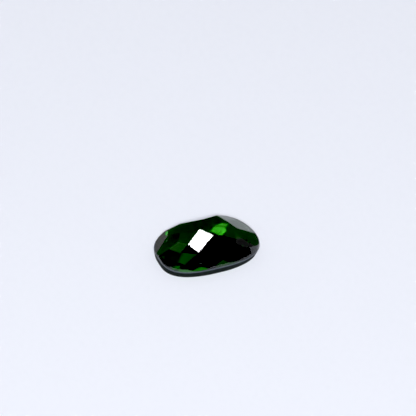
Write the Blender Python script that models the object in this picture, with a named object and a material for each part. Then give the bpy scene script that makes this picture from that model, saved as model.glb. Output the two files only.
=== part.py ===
"""A cut chrome diopside: a cushion with a domed checkerboard crown and a shallow, flat-bottomed back.

The stone lies on its flat base, long axis along X, with the origin at the middle of the base.
It is cut as a lapidary cuts it: a cushion-shaped blank, then one flat facet after another, each
ground down until it meets corners that are already there.
"""

import math

import bmesh
import bpy
from mathutils import Vector

MM = 0.001

# The outline of the girdle: one end a little squarer than the other
LENGTH = 9.0 * MM
WIDTH = 6.0 * MM
SQUARE_END_POWER = 2.95
ROUND_END_POWER = 2.55
BLANK_SIDES = 64
SIDE_TURN = 2 * math.pi / BLANK_SIDES

# Heights above the flat base
GIRDLE_BOTTOM = 0.83 * MM
GIRDLE_THICKNESS = 0.12 * MM
GIRDLE_TOP = GIRDLE_BOTTOM + GIRDLE_THICKNESS
CROWN_HEIGHT = 2.05 * MM
BLANK_SPARE = 0.5 * MM

# The crown, measured from the middle of the girdle's top line
CENTRE_HALF_LONG = 0.79 * MM
CENTRE_HALF_WIDE = 1.16 * MM
INNER_SLOPE = math.radians(20.6)
END_CORNER = (-2.16 * MM, -0.87 * MM)
SIDE_CORNER = (-1.70 * MM, -2.09 * MM)
FRONT_TIP = 2.54 * MM
CUSHION_CORNER = (-3.80 * MM, -2.20 * MM, 0.34 * MM)
END_TIP = (-4.36 * MM, 0.0, 0.21 * MM)
SIDE_REST = (-1.35 * MM, -2.86 * MM, 0.21 * MM)
BREAK_SLOPE = math.radians(76)
BREAK_HEIGHT = 0.22 * MM
LOWER_CROWN_SLOPE = math.radians(64)

# One more facet, at a single corner of the crown
SPARE_FACET_PLACE = (-2.93 * MM, 1.74 * MM, 0.86 * MM)
SPARE_FACET_TURN = math.radians(156.3)
SPARE_FACET_SLOPE = math.radians(40)

# The upper back, below the girdle: a little off centre, so one end is steeper than the other
UPPER_BACK_SLOPE = math.radians(74)
UPPER_BACK_LEAN = math.radians(8)

# The lower back: where each set of facets leaves the upper back, and how it falls towards the base
BACK_END_HEIGHT = 0.22 * MM
BACK_END_SLOPE = math.radians(8)
BACK_SIDE_HEIGHT = 0.22 * MM
BACK_SIDE_SLOPE = math.radians(14)
BACK_CORNER_TURN = math.radians(45)
BACK_CORNER_HEIGHT = 0.20 * MM
BACK_CORNER_SLOPE = math.radians(12)

# The four broad mains round the base, which face this turn from the long axis
BACK_MAIN_TURN = math.radians(57.5)
BACK_MAIN_SLOPE = math.radians(6.4)
BACK_MAIN_REACH = 0.95 * MM

# Corners closer than this are one meeting point
MEET = 0.0005 * MM
MERGE = 0.002 * MM

STONE_COLOUR = (0.006, 0.05, 0.012, 1.0)
STONE_ROUGHNESS = 0.03
STONE_IOR = 1.68


def clear_scene():
    """Remove whatever the scene holds."""
    for thing in list(bpy.data.objects):
        bpy.data.objects.remove(thing, do_unlink=True)


def end_power(x):
    """The power of the superellipse that shapes this end of the outline."""
    return SQUARE_END_POWER if x < 0 else ROUND_END_POWER


def outline_point(turn):
    """The point of the cushion outline, a superellipse, at this turn round the stone."""
    power = end_power(math.cos(turn))
    across = abs(math.cos(turn)) ** power + abs(math.sin(turn)) ** power
    reach = across ** (-1 / power)
    x = LENGTH / 2 * reach * math.cos(turn)
    y = WIDTH / 2 * reach * math.sin(turn)
    return Vector((x, y, 0))


def blank_side(step):
    """The middle of one side of the blank, counted from the +X end, and where it faces."""
    start = outline_point(SIDE_TURN * step)
    end = outline_point(SIDE_TURN * (step + 1))
    run = end - start
    return (start + end) / 2, Vector((run.y, -run.x, 0)).normalized()


def outline_reach(facing):
    """How far the outline reaches from the middle of the stone in this direction."""
    power = end_power(facing.x)
    power = power / (power - 1)
    along = (LENGTH / 2 * abs(facing.x)) ** power
    across = (WIDTH / 2 * abs(facing.y)) ** power
    return (along + across) ** (1 / power)


def upper_back_slope(facing):
    """The steepness of the upper back on the side that faces this way."""
    return UPPER_BACK_SLOPE - UPPER_BACK_LEAN * facing.x


def cushion_blank():
    """A straight-walled block of the girdle's outline, tall enough for crown and back."""
    blank = bmesh.new()
    height = GIRDLE_TOP + CROWN_HEIGHT + BLANK_SPARE
    bmesh.ops.create_cone(
        blank, cap_ends=True, segments=BLANK_SIDES, radius1=1, radius2=1, depth=height
    )
    for corner in blank.verts:
        place = outline_point(math.atan2(corner.co.y, corner.co.x))
        corner.co = (place.x, place.y, corner.co.z + height / 2 - BLANK_SPARE / 2)
    return blank


def grind(stone, point, outward):
    """Cut away all that lies beyond one plane, and close the cut with a flat facet."""
    geometry = stone.verts[:] + stone.edges[:] + stone.faces[:]
    cut = bmesh.ops.bisect_plane(
        stone,
        geom=geometry,
        dist=MEET,
        plane_co=point,
        plane_no=outward,
        clear_outer=True,
    )
    rim = [part for part in cut["geom_cut"] if isinstance(part, bmesh.types.BMEdge)]
    open_rim = [edge for edge in rim if edge.is_boundary]
    if open_rim:
        bmesh.ops.contextual_create(stone, geom=open_rim)


def sloped(direction, slope):
    """The outward normal of a facet that faces this way in plan, tilted by slope from level."""
    flat = Vector((direction[0], direction[1], 0)).normalized()
    return flat * math.sin(slope) + Vector((0, 0, math.cos(slope)))


def facing_down(facing, slope):
    """The outward normal of a back facet that faces this way in plan, tilted by slope from level."""
    normal = sloped(facing, slope)
    return Vector((normal.x, normal.y, -normal.z))


def through(first, second, third):
    """The outward normal of the crown facet that meets three corners."""
    normal = (second - first).cross(third - first).normalized()
    return normal if normal.z > 0 else -normal


def mirrored(vector, sides):
    """The vector, and its images in the stone's two planes of symmetry."""
    return [Vector((vector.x * x, vector.y * y, vector.z)) for x, y in sides]


ALL_FOUR = [(1, 1), (-1, 1), (1, -1), (-1, -1)]
BOTH_ENDS = [(1, 1), (-1, 1)]
BOTH_SIDES = [(1, 1), (1, -1)]


def grind_set(stone, point, outward, sides):
    """The same facet at each place where the stone's symmetry repeats it."""
    for place, facing in zip(mirrored(point, sides), mirrored(outward, sides)):
        grind(stone, place, facing)


def height_on(point, normal, x, y):
    """The point of a facet's plane above this place in plan."""
    rise = (normal.x * (point.x - x) + normal.y * (point.y - y)) / normal.z
    return Vector((x, y, point.z + rise))


def crown_corner(place):
    """A corner given from the middle of the girdle's top line, as a place on the stone."""
    return Vector((place[0], place[1], place[2] + GIRDLE_TOP))


def grind_crown(stone):
    """The checkerboard: a level centre facet, and rings of facets that fall away from it."""
    top = crown_corner((0, 0, CROWN_HEIGHT))
    left_tip = top - Vector((CENTRE_HALF_LONG, 0, 0))
    front_tip = top - Vector((0, CENTRE_HALF_WIDE, 0))
    inner = sloped((-CENTRE_HALF_WIDE, -CENTRE_HALF_LONG), INNER_SLOPE)
    end_corner = height_on(left_tip, inner, *END_CORNER)
    side_corner = height_on(left_tip, inner, *SIDE_CORNER)

    grind(stone, top, Vector((0, 0, 1)))
    grind_set(stone, left_tip, inner, ALL_FOUR)

    end_fall = math.atan2(left_tip.z - end_corner.z, left_tip.x - end_corner.x)
    end = sloped((-1, 0), end_fall)
    grind_set(stone, left_tip, end, BOTH_ENDS)

    side_fall = math.atan2(front_tip.z - side_corner.z, front_tip.y - side_corner.y)
    side = sloped((0, -1), side_fall)
    grind_set(stone, front_tip, side, BOTH_SIDES)

    cushion_corner = crown_corner(CUSHION_CORNER)
    corner = through(end_corner, side_corner, cushion_corner)
    grind_set(stone, side_corner, corner, ALL_FOUR)

    outer_end = through(end_corner, cushion_corner, crown_corner(END_TIP))
    grind_set(stone, end_corner, outer_end, ALL_FOUR)

    lower_tip = height_on(front_tip, side, 0, -FRONT_TIP)
    outer_side = through(side_corner, lower_tip, crown_corner(SIDE_REST))
    grind_set(stone, side_corner, outer_side, ALL_FOUR)


def grind_break_facets(stone):
    """A narrow, steep ring that rises from the girdle's top line, one facet to each side."""
    for step in range(BLANK_SIDES):
        place, facing = blank_side(step)
        grind(stone, place + Vector((0, 0, GIRDLE_TOP)), sloped(facing, BREAK_SLOPE))


def grind_lower_crown(stone):
    """A ring above the break facets, less steep, that leaves them one even height all round."""
    inset = BREAK_HEIGHT / math.tan(BREAK_SLOPE)
    height = Vector((0, 0, GIRDLE_TOP + BREAK_HEIGHT))
    for step in range(BLANK_SIDES):
        place, facing = blank_side(step)
        grind(stone, place - facing * inset + height, sloped(facing, LOWER_CROWN_SLOPE))


def grind_spare_facet(stone):
    """One flat at the squarer end, on one side only, that takes off the corner down to the girdle."""
    facing = Vector((math.cos(SPARE_FACET_TURN), math.sin(SPARE_FACET_TURN), 0))
    grind(stone, crown_corner(SPARE_FACET_PLACE), sloped(facing, SPARE_FACET_SLOPE))


def grind_upper_back(stone):
    """A steep ring that falls from the girdle's bottom line, one facet to each side."""
    for step in range(BLANK_SIDES):
        place, facing = blank_side(step)
        normal = facing_down(facing, upper_back_slope(facing))
        grind(stone, place + Vector((0, 0, GIRDLE_BOTTOM)), normal)


def grind_from_rim(stone, turn, sides, height, slope):
    """A set of back facets that leave the upper back at this height and fall at this slope."""
    for facing in mirrored(Vector((math.cos(turn), math.sin(turn), 0)), sides):
        inset = (GIRDLE_BOTTOM - height) / math.tan(upper_back_slope(facing))
        rim = facing * (outline_reach(facing) - inset) + Vector((0, 0, height))
        grind(stone, rim, facing_down(facing, slope))


def grind_lower_back(stone):
    """Shallow facets at the ends, sides and corners, and four broad mains round the flat base."""
    grind_from_rim(stone, 0, BOTH_ENDS, BACK_END_HEIGHT, BACK_END_SLOPE)
    grind_from_rim(stone, math.pi / 2, BOTH_SIDES, BACK_SIDE_HEIGHT, BACK_SIDE_SLOPE)
    grind_from_rim(stone, BACK_CORNER_TURN, ALL_FOUR, BACK_CORNER_HEIGHT, BACK_CORNER_SLOPE)
    facing = Vector((math.cos(BACK_MAIN_TURN), math.sin(BACK_MAIN_TURN), 0))
    grind_set(stone, facing * BACK_MAIN_REACH, facing_down(facing, BACK_MAIN_SLOPE), ALL_FOUR)


def diopside_material():
    """Deep green glassy crystal."""
    material = bpy.data.materials.new("chrome_diopside")
    material.use_nodes = True
    shader = material.node_tree.nodes["Principled BSDF"]
    shader.inputs["Base Color"].default_value = STONE_COLOUR
    shader.inputs["Roughness"].default_value = STONE_ROUGHNESS
    shader.inputs["Metallic"].default_value = 0.0
    shader.inputs["IOR"].default_value = STONE_IOR
    material.diffuse_color = STONE_COLOUR
    return material


def cut_stone(collection):
    """The whole stone, as one flat-faceted solid."""
    stone = cushion_blank()
    grind_crown(stone)
    grind_break_facets(stone)
    grind_lower_crown(stone)
    grind_spare_facet(stone)
    grind_upper_back(stone)
    grind_lower_back(stone)
    grind(stone, Vector((0, 0, 0)), Vector((0, 0, -1)))
    bmesh.ops.remove_doubles(stone, verts=stone.verts[:], dist=MERGE)
    bmesh.ops.dissolve_limit(
        stone, angle_limit=math.radians(0.02), verts=stone.verts[:], edges=stone.edges[:]
    )
    bmesh.ops.recalc_face_normals(stone, faces=stone.faces[:])
    mesh = bpy.data.meshes.new("chrome_diopside")
    stone.to_mesh(mesh)
    stone.free()
    mesh.materials.append(diopside_material())
    cut = bpy.data.objects.new("chrome_diopside", mesh)
    collection.objects.link(cut)
    return cut


def main():
    clear_scene()
    collection = bpy.data.collections.new("chrome_diopside")
    bpy.context.scene.collection.children.link(collection)
    cut_stone(collection)


main()
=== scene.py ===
import math

import bmesh
import bpy
import numpy as np
from mathutils import Matrix, Vector


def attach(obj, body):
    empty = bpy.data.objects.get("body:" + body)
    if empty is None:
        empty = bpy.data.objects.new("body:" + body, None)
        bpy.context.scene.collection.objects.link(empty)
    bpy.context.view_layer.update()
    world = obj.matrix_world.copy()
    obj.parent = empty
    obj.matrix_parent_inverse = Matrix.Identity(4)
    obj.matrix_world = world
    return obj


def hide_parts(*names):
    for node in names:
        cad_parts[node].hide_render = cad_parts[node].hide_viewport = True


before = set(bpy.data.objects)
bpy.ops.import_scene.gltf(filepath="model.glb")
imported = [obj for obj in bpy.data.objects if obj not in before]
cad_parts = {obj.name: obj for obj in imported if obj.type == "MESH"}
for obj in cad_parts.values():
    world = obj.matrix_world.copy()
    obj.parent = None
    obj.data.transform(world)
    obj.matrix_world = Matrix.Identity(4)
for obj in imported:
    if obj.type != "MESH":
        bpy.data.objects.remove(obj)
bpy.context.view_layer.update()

MM = 0.001
STONE = "chrome_diopside"
EDGE_MARK = "facet_edge"

# Heights on the stone, above the paper
GIRDLE_BOTTOM = 0.83 * MM
GIRDLE_TOP = 0.95 * MM

# The camera: turned about the stone, raised, and leaning a little to one side
CAMERA_TURN = math.radians(-23.9)
CAMERA_RISE = math.radians(38.1)
CAMERA_LEAN = math.radians(2.41)
LENS = 300.0
SENSOR = 36.0
CLIP_REACH = 20.0

# The picture in pixels: its width, its scale at the stone, and its aim right of and above the girdle
IMAGE_SIZE = 416
PIXELS_PER_METRE = 11.773 / MM
AIM_RIGHT_PIXELS = 0.74
AIM_UP_PIXELS = 38.06

# The facets of the CAD stone: what counts as one corner and as one flat, and the rim of each flat
MERGE = 0.0005 * MM
SAME_FLAT_ANGLE = math.radians(0.05)
EDGE_WIDTH = 0.018 * MM
WIDEST_RIM_SHARE = 0.3

# The crystal: clear, and deep green because little but green light crosses a millimetre of it
STONE_IOR = 1.68
BODY_COLOUR = (0.97, 0.99, 0.97, 1)
ABSORB_COLOUR = (0.36, 0.74, 0.26, 1)
ABSORB_DENSITY = 1 / MM

# The polish: very smooth, and a little less so where soft clouds and fine polishing lines cross
POLISH_ROUGHNESS = 0.004
POLISH_CHANGE = 0.010
CLOUD_SCALE = 600.0
CLOUD_DETAIL = 3.0
LINE_SCALE = 2500.0
LINE_DETAIL = 1.0
LINE_STRETCH = (1, 14, 6)

# The ground girdle, whose finish the worn facet edges share in part
GROUND_COLOUR = (0.05, 0.062, 0.085, 1)
GROUND_ROUGHNESS = 0.45
GROUND_CLEAR = 0.25
GIRDLE_MARGIN = 0.004 * MM

# The worn facet edges: patches of cloudy noise, between these two strengths of it
WEAR_SCALE = 1400.0
WEAR_BEGINS = 0.4
WEAR_IS_FULL = 0.75
MOST_WEAR = 0.04

# The ring of steep facets below the girdle, painted near black, matt and opaque: painted shade of the
# dark gap under the stone
RING_PAINTED_SHADE = (0.001, 0.004, 0.002, 1)
RING_ROUGHNESS = 0.95
LEAST_RING_SLOPE = math.radians(53)

# Three specks of pale dust on the crown, each the part of its surface inside a small ball
SPECKS = [
    {"place": (0.527 * MM, 0.114 * MM, 3.0 * MM), "radius": 0.055 * MM},
    {"place": (-1.677 * MM, -2.597 * MM, 1.5 * MM), "radius": 0.03 * MM},
    {"place": (-3.315 * MM, 1.005 * MM, 1.689 * MM), "radius": 0.055 * MM},
]
SPECK_COLOUR = (0.18, 0.22, 0.20, 1)

# The paper
FLOOR_HALF = 1.2
FLOOR_LINES = 9
FLOOR_COLOUR = (0.84, 0.865, 0.94, 1)
FLOOR_ROUGHNESS = 0.9
FLOOR_GLOSS = 0.2

# The light on the paper: a soft box behind the camera, and a pale tent all round
BACKDROP_LIGHT = 0.9
TENT_LIGHT = 0.2
FILL_LIGHT = 0.84
FILL_DISTANCE = 1.2
FILL_SIZE = 0.12
LIGHT_COLOUR = (0.985, 0.985, 1.0, 1)

# What the polished facets see: a dark room with round soft lights in it. A light's turn runs clockwise
# from straight back, and its rise from level. Half is its half width and blur the width of its soft
# rim, all in degrees.
ROOM_LIGHT = 0.004
FACET_LIGHTS = [
    {"name": "key lamp", "turn": -21, "rise": 69, "half": 10, "blur": 0.5, "light": 24.0},
    {"name": "key lamp, overhead", "turn": -60, "rise": 81, "half": 9, "blur": 1, "light": 24.0},
    {"name": "key lamp, left", "turn": -112, "rise": 70, "half": 7, "blur": 1, "light": 18.0},
    {"name": "pale wall behind, low", "turn": -14, "rise": 6, "half": 5, "blur": 1, "light": 0.55},
    {"name": "wall behind, left", "turn": -40, "rise": 42, "half": 8, "blur": 3, "light": 0.16},
    {"name": "wall behind, middle", "turn": 8, "rise": 14, "half": 6, "blur": 3, "light": 0.2},
    {"name": "window, right", "turn": 68, "rise": 27, "half": 9, "blur": 3, "light": 0.2},
    {"name": "door, right", "turn": 49, "rise": 21, "half": 4, "blur": 2, "light": 0.35},
    {"name": "wall right", "turn": 100, "rise": 30, "half": 9, "blur": 3, "light": 0.25},
    {"name": "front wall, right", "turn": 140, "rise": 15, "half": 13, "blur": 4, "light": 0.1},
    {"name": "front wall, middle", "turn": 172, "rise": 25, "half": 13, "blur": 4, "light": 0.1},
    {"name": "front wall, left", "turn": -150, "rise": 17, "half": 13, "blur": 4, "light": 0.12},
]

# The light that the paper gets through the stone: weak all round, with a wide glow from low behind
THROUGH_LIGHT = 0.14
THROUGH_GLOW = {"name": "low behind", "turn": 35, "rise": 20, "half": 50, "blur": 40, "light": 0.6}

# A ray that has left a matt surface counts more diffuse bounces than this
AFTER_MATT = 0.5

# The tones of the picture, and enough bounces for light to cross the stone
BLACK_LEVEL = 0.014
MOST_BOUNCES = 24
GLOSS_BOUNCES = 12

# The inputs and the result of a Mix node, by number, because those of both kinds have the same names
MIX_SOCKETS = {"FLOAT": (2, 3, 0), "RGBA": (6, 7, 2)}


def view_axes():
    """Right, up and backward directions of the camera, from its turn, rise and lean."""
    across = Vector((math.cos(CAMERA_TURN), math.sin(CAMERA_TURN), 0))
    back = Vector(
        (
            math.sin(CAMERA_TURN) * math.cos(CAMERA_RISE),
            -math.cos(CAMERA_TURN) * math.cos(CAMERA_RISE),
            math.sin(CAMERA_RISE),
        )
    )
    above = back.cross(across)
    right = across * math.cos(CAMERA_LEAN) + above * math.sin(CAMERA_LEAN)
    up = above * math.cos(CAMERA_LEAN) - across * math.sin(CAMERA_LEAN)
    return right, up, back


def make_camera():
    """A long lens that looks down on the stone from the front left."""
    right, up, back = view_axes()
    aim = Vector((0, 0, GIRDLE_TOP))
    aim += right * (AIM_RIGHT_PIXELS / PIXELS_PER_METRE)
    aim += up * (AIM_UP_PIXELS / PIXELS_PER_METRE)
    distance = IMAGE_SIZE / PIXELS_PER_METRE * LENS / SENSOR
    data = bpy.data.cameras.new("camera")
    data.lens = LENS
    data.sensor_width = SENSOR
    data.clip_start = distance / CLIP_REACH
    data.clip_end = distance * CLIP_REACH
    camera = bpy.data.objects.new("camera", data)
    bpy.context.scene.collection.objects.link(camera)
    turned = Matrix((right, up, back)).transposed().to_4x4()
    turned.translation = aim + back * distance
    camera.matrix_world = turned
    bpy.context.scene.camera = camera


def feed(tree, socket, value):
    """Give a socket a plain value, or join another node's socket to it."""
    if isinstance(value, bpy.types.NodeSocket):
        tree.links.new(value, socket)
    else:
        socket.default_value = value


def math_node(tree, kind, first, second=None):
    """A Math node of this kind, fed by sockets or plain numbers; gives its value socket."""
    node = tree.nodes.new("ShaderNodeMath")
    node.operation = kind
    feed(tree, node.inputs[0], first)
    if second is not None:
        feed(tree, node.inputs[1], second)
    return node.outputs["Value"]


def vector_node(tree, kind, first, second):
    """A Vector Math node of a kind that gives one number; gives its value socket."""
    node = tree.nodes.new("ShaderNodeVectorMath")
    node.operation = kind
    feed(tree, node.inputs[0], first)
    feed(tree, node.inputs[1], second)
    return node.outputs["Value"]


def ramp_node(tree, value, low, high, from_low, from_high):
    """A smooth step: from_low below low, from_high above high."""
    node = tree.nodes.new("ShaderNodeMapRange")
    node.interpolation_type = "SMOOTHSTEP"
    feed(tree, node.inputs["Value"], value)
    feed(tree, node.inputs["From Min"], low)
    feed(tree, node.inputs["From Max"], high)
    feed(tree, node.inputs["To Min"], from_low)
    feed(tree, node.inputs["To Max"], from_high)
    return node.outputs["Result"]


def mix_node(tree, kind, share, first, second):
    """A number or a colour between two, by the share socket."""
    node = tree.nodes.new("ShaderNodeMix")
    node.data_type = kind
    at_nought, at_one, result = MIX_SOCKETS[kind]
    feed(tree, node.inputs["Factor"], share)
    feed(tree, node.inputs[at_nought], first)
    feed(tree, node.inputs[at_one], second)
    return node.outputs[result]


def noise_node(tree, place, scale, detail, stretch=(1, 1, 1)):
    """Soft cloudy noise in the stone's own space; gives its value socket."""
    mapping = tree.nodes.new("ShaderNodeMapping")
    feed(tree, mapping.inputs["Scale"], stretch)
    feed(tree, mapping.inputs["Vector"], place)
    noise = tree.nodes.new("ShaderNodeTexNoise")
    feed(tree, noise.inputs["Scale"], scale)
    feed(tree, noise.inputs["Detail"], detail)
    feed(tree, noise.inputs["Vector"], mapping.outputs["Vector"])
    return noise.outputs["Fac"]


def upright_part(tree, vector):
    """The upright part of a vector socket."""
    parts = tree.nodes.new("ShaderNodeSeparateXYZ")
    feed(tree, parts.inputs["Vector"], vector)
    return parts.outputs["Z"]


def girdle_and_shaded_ring(tree, place):
    """Two masks: the ground girdle, by height, and the ring below it, by height and by slope, which is
    painted near black as shade.
    """
    height = upright_part(tree, place)
    above = math_node(tree, "GREATER_THAN", height, GIRDLE_BOTTOM - GIRDLE_MARGIN)
    below = math_node(tree, "LESS_THAN", height, GIRDLE_TOP + GIRDLE_MARGIN)
    girdle = math_node(tree, "MULTIPLY", above, below)
    normal = tree.nodes.new("ShaderNodeNewGeometry").outputs["True Normal"]
    upright = math_node(tree, "ABSOLUTE", upright_part(tree, normal))
    steep = math_node(tree, "LESS_THAN", upright, math.cos(LEAST_RING_SLOPE))
    under = math_node(tree, "SUBTRACT", 1.0, above)
    shaded_ring = math_node(tree, "MULTIPLY", under, steep)
    return girdle, shaded_ring


def worn_edges(tree, place):
    """How far the wear has gone: patches of noise on the rims of the facets, and none elsewhere."""
    rim = tree.nodes.new("ShaderNodeAttribute")
    rim.attribute_name = EDGE_MARK
    noise = noise_node(tree, place, WEAR_SCALE, CLOUD_DETAIL)
    patchy = ramp_node(tree, noise, WEAR_BEGINS, WEAR_IS_FULL, 0.0, MOST_WEAR)
    return math_node(tree, "MULTIPLY", rim.outputs["Fac"], patchy)


def specks(tree, place):
    """A mask: one inside the round specks of dust, nought elsewhere."""
    inside = 0.0
    for speck in SPECKS:
        away = vector_node(tree, "DISTANCE", place, speck["place"])
        near = math_node(tree, "LESS_THAN", away, speck["radius"])
        inside = math_node(tree, "MAXIMUM", near, inside)
    return inside


def polish(tree, place):
    """The roughness of the polished facets."""
    clouds = noise_node(tree, place, CLOUD_SCALE, CLOUD_DETAIL)
    lines = noise_node(tree, place, LINE_SCALE, LINE_DETAIL, LINE_STRETCH)
    uneven = math_node(tree, "MULTIPLY", clouds, lines)
    change = math_node(tree, "MULTIPLY", uneven, POLISH_CHANGE)
    return math_node(tree, "ADD", change, POLISH_ROUGHNESS)


def diopside():
    """Polished green crystal: clear and strongly absorbing, with a ground girdle, a dull ring below it
    painted near black as shade, worn facet edges and specks of dust."""
    material = bpy.data.materials.new("chrome_diopside_polished")
    material.use_nodes = True
    tree = material.node_tree
    shader = tree.nodes["Principled BSDF"]
    place = tree.nodes.new("ShaderNodeTexCoord").outputs["Object"]
    girdle, shaded_ring = girdle_and_shaded_ring(tree, place)
    ground = math_node(tree, "MAXIMUM", girdle, worn_edges(tree, place))
    dust = specks(tree, place)

    rough = mix_node(tree, "FLOAT", ground, polish(tree, place), GROUND_ROUGHNESS)
    rough = mix_node(tree, "FLOAT", shaded_ring, rough, RING_ROUGHNESS)
    feed(tree, shader.inputs["Roughness"], rough)

    tint = mix_node(tree, "RGBA", ground, BODY_COLOUR, GROUND_COLOUR)
    # The ring below the girdle gets a near-black colour and lets no light through: painted shade of
    # the dark gap under the stone.
    tint = mix_node(tree, "RGBA", shaded_ring, tint, RING_PAINTED_SHADE)
    tint = mix_node(tree, "RGBA", dust, tint, SPECK_COLOUR)
    feed(tree, shader.inputs["Base Color"], tint)

    clear = mix_node(tree, "FLOAT", ground, 1.0, GROUND_CLEAR)
    solid = math_node(tree, "MAXIMUM", shaded_ring, dust)
    clear = mix_node(tree, "FLOAT", solid, clear, 0.0)
    feed(tree, shader.inputs["Transmission Weight"], clear)
    feed(tree, shader.inputs["IOR"], STONE_IOR)

    inside = tree.nodes.new("ShaderNodeVolumeAbsorption")
    feed(tree, inside.inputs["Color"], ABSORB_COLOUR)
    feed(tree, inside.inputs["Density"], ABSORB_DENSITY)
    feed(tree, tree.nodes["Material Output"].inputs["Volume"], inside.outputs["Volume"])
    return material


def merged_facets():
    """Corners, and the corners of each whole facet in order, of a merged copy of the CAD stone."""
    stone = bmesh.new()
    stone.from_mesh(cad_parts[STONE].data)
    bmesh.ops.remove_doubles(stone, verts=stone.verts[:], dist=MERGE)
    bmesh.ops.dissolve_limit(
        stone, angle_limit=SAME_FLAT_ANGLE, verts=stone.verts[:], edges=stone.edges[:]
    )
    stone.verts.index_update()
    corners = np.array([corner.co[:] for corner in stone.verts])
    facets = [[corner.index for corner in facet.verts] for facet in stone.faces]
    stone.free()
    return corners, facets


def rimmed(corners, facets):
    """Corners and faces with a narrow flat rim inside the edges of each facet, and a mark for each
    corner, one on an edge and nought inside. An inner corner lies on the line from the facet's corner
    to its middle, at the share of the way that puts the rim's nearest side one edge width in, up to
    the widest share."""
    sizes = np.array([len(facet) for facet in facets])
    first = np.concatenate([[0], np.cumsum(sizes)[:-1]])
    own = np.repeat(np.arange(len(facets)), sizes)
    around = np.concatenate(facets)
    after = np.arange(len(around)) + 1
    after[first + sizes - 1] = first
    places = corners[around]
    middles = np.add.reduceat(places, first) / sizes[:, None]
    along = places[after] - places
    inward = middles[own] - places
    reach = np.linalg.norm(np.cross(along, inward), axis=1) / np.linalg.norm(along, axis=1)
    nearest = np.minimum.reduceat(reach, first)
    share = np.minimum(EDGE_WIDTH / nearest, WIDEST_RIM_SHARE)
    inner = places + inward * share[own][:, None]
    count = len(corners)
    inside = np.arange(len(around)) + count
    strips = np.stack([around, around[after], inside[after], inside], 1).tolist()
    flats = [inside[start : start + size].tolist() for start, size in zip(first, sizes)]
    edge = np.concatenate([np.ones(count), np.zeros(len(inner))])
    return np.concatenate([corners, inner]), strips + flats, edge


def dressed_stone():
    """The polished stone: the CAD's own facets, with the rim of each one marked as its worn edge."""
    places, faces, edge = rimmed(*merged_facets())
    mesh = bpy.data.meshes.new("polished_stone")
    mesh.from_pydata(places.tolist(), [], faces)
    mark = mesh.attributes.new(EDGE_MARK, "FLOAT", "POINT")
    mark.data.foreach_set("value", edge.astype(np.float32))
    mesh.materials.append(diopside())
    stone = bpy.data.objects.new("polished_stone", mesh)
    bpy.context.scene.collection.objects.link(stone)
    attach(stone, "root")
    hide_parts(STONE)


def white_paper():
    """Smooth, faintly lavender white paper."""
    material = bpy.data.materials.new("white_paper")
    material.use_nodes = True
    shader = material.node_tree.nodes["Principled BSDF"]
    shader.inputs["Base Color"].default_value = FLOOR_COLOUR
    shader.inputs["Roughness"].default_value = FLOOR_ROUGHNESS
    shader.inputs["Specular IOR Level"].default_value = FLOOR_GLOSS
    return material


def paper_floor():
    """A wide flat sheet of paper, a grid of x and y at height zero."""
    lines = np.linspace(-FLOOR_HALF, FLOOR_HALF, FLOOR_LINES)
    x, y = np.meshgrid(lines, lines)
    places = np.stack([x.ravel(), y.ravel(), np.zeros(x.size)], 1)
    step = np.arange(FLOOR_LINES - 1)
    corner = (step[:, None] * FLOOR_LINES + step).ravel()
    above = corner + FLOOR_LINES
    faces = np.stack([corner, corner + 1, above + 1, above], 1)
    mesh = bpy.data.meshes.new("paper")
    mesh.from_pydata(places.tolist(), [], faces.tolist())
    mesh.materials.append(white_paper())
    paper = bpy.data.objects.new("paper", mesh)
    bpy.context.scene.collection.objects.link(paper)


def fill_light():
    """A soft box behind the camera, for the paper alone, so that the stone hides its shadow. At its
    power, pure white paper sends back FILL_LIGHT: the power times the sine of the lamp's rise, over
    the squares of pi and of the distance."""
    away = view_axes()[2]
    data = bpy.data.lights.new("front_fill", "AREA")
    data.shape = "SQUARE"
    data.size = FILL_SIZE
    data.energy = FILL_LIGHT * math.pi**2 * FILL_DISTANCE**2 / math.sin(CAMERA_RISE)
    data.color = LIGHT_COLOUR[:3]
    fill = bpy.data.objects.new("front_fill", data)
    fill.location = away * FILL_DISTANCE
    fill.rotation_mode = "QUATERNION"
    fill.rotation_quaternion = away.to_track_quat("Z", "Y")
    fill.visible_camera = False
    fill.visible_glossy = False
    fill.visible_transmission = False
    bpy.context.scene.collection.objects.link(fill)


def towards(turn, rise):
    """The direction with this turn from straight back, clockwise from above, and this rise."""
    flat = math.cos(rise)
    return Vector((math.sin(turn) * flat, math.cos(turn) * flat, math.sin(rise)))


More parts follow.
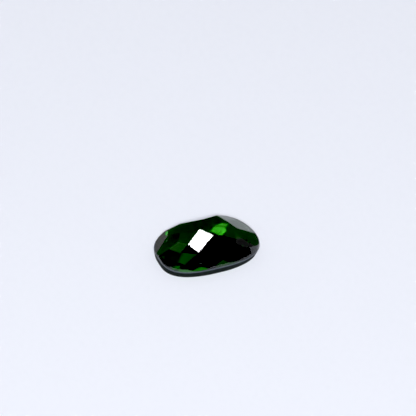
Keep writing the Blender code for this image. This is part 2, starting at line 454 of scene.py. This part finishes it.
def round_light(tree, direction, lamp):
    """The light of one round lamp, with a blurred rim, in the direction of a ray: a smooth step of the
    cosine of the angle between them."""
    middle = towards(math.radians(lamp["turn"]), math.radians(lamp["rise"]))
    nearness = vector_node(tree, "DOT_PRODUCT", direction, middle)
    nearness.node.label = lamp["name"]
    outer = math.cos(math.radians(lamp["half"] + lamp["blur"] / 2))
    inner = math.cos(math.radians(lamp["half"] - lamp["blur"] / 2))
    return ramp_node(tree, nearness, outer, inner, 0.0, lamp["light"])


def room():
    """The world, by the kind of ray: a backdrop for the camera, a tent for the paper, the dark room
    for the facets, and for a ray from matt paper through the stone, the light that it gets there."""
    world = bpy.data.worlds.new("room")
    world.use_nodes = True
    tree = world.node_tree
    rays = tree.nodes.new("ShaderNodeLightPath").outputs
    direction = tree.nodes.new("ShaderNodeTexCoord").outputs["Generated"]
    in_room = ROOM_LIGHT
    for lamp in FACET_LIGHTS:
        in_room = math_node(tree, "ADD", round_light(tree, direction, lamp), in_room)
    through_stone = math_node(tree, "ADD", round_light(tree, direction, THROUGH_GLOW), THROUGH_LIGHT)
    from_matt = math_node(tree, "GREATER_THAN", rays["Diffuse Depth"], AFTER_MATT)
    by_facets = math_node(tree, "MAXIMUM", rays["Is Glossy Ray"], rays["Is Transmission Ray"])
    seen_by_facets = mix_node(tree, "FLOAT", from_matt, in_room, through_stone)
    seen_openly = mix_node(tree, "FLOAT", rays["Is Camera Ray"], TENT_LIGHT, BACKDROP_LIGHT)
    strength = mix_node(tree, "FLOAT", by_facets, seen_openly, seen_by_facets)
    background = tree.nodes["Background"]
    feed(tree, background.inputs["Color"], LIGHT_COLOUR)
    feed(tree, background.inputs["Strength"], strength)
    world.cycles.sampling_method = "NONE"
    bpy.context.scene.world = world


def picture_settings():
    """Plain colours with the darkest tones pressed to black, and enough bounces to cross the stone."""
    scene = bpy.context.scene
    scene.view_settings.view_transform = "Standard"
    scene.view_settings.use_curve_mapping = True
    curves = scene.view_settings.curve_mapping
    curves.black_level = (BLACK_LEVEL, BLACK_LEVEL, BLACK_LEVEL)
    curves.update()
    scene.cycles.max_bounces = MOST_BOUNCES
    scene.cycles.transmission_bounces = MOST_BOUNCES
    scene.cycles.glossy_bounces = GLOSS_BOUNCES
    scene.cycles.use_denoising = True


make_camera()
dressed_stone()
paper_floor()
fill_light()
room()
picture_settings()
bpy.context.view_layer.update()
